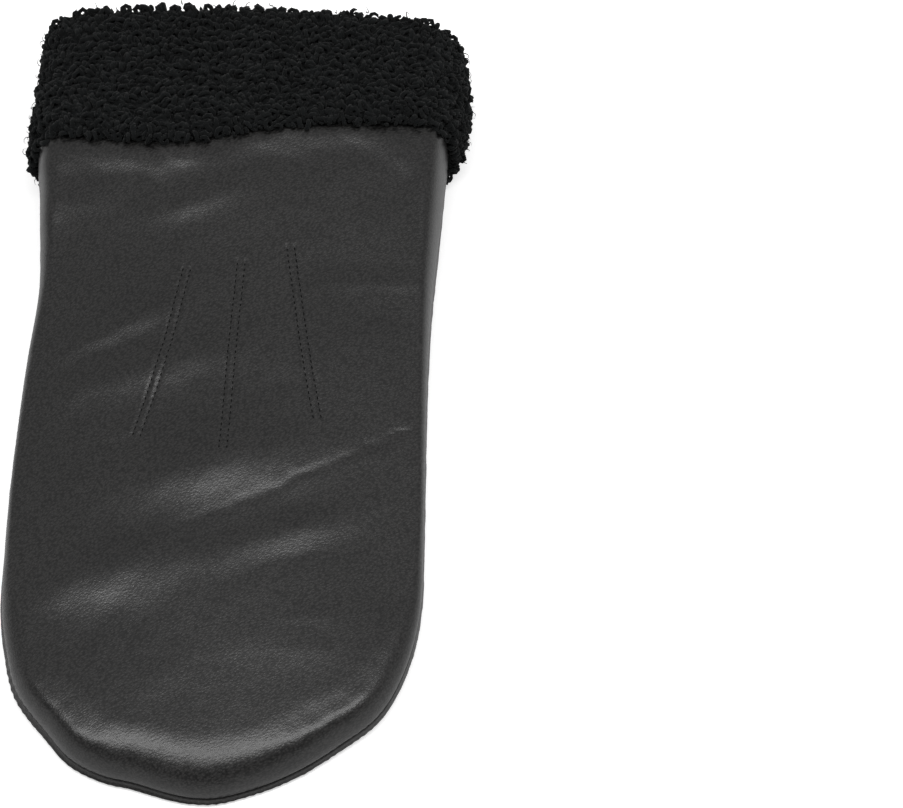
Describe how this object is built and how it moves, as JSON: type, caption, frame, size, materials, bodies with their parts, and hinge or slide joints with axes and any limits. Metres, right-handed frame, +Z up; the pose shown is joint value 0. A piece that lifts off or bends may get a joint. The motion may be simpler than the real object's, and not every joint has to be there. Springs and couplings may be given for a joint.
{
  "type": "leather mitten",
  "caption": "Left-hand mitten in smooth black leather with stitched lines on the back, a flat thumb and a curly wool cuff, lying palm down.",
  "frame": {"origin": "on the surface it lies on, halfway along its length and halfway across its width", "axes": "+X across the hand to the little-finger side, +Y from the fingertips to the open wrist, +Z up from the palm to the back"},
  "size_m": [0.1416, 0.2702, 0.0445],
  "materials": {
    "leather": "smooth nappa, soft satin sheen",
    "wool": "curly wool pile, dull"
  },
  "bodies": {
    "root": {"back_panel": "leather", "palm_panel": "leather", "thumb": "leather", "wool_cuff": "wool"}
  },
  "joints": []
}
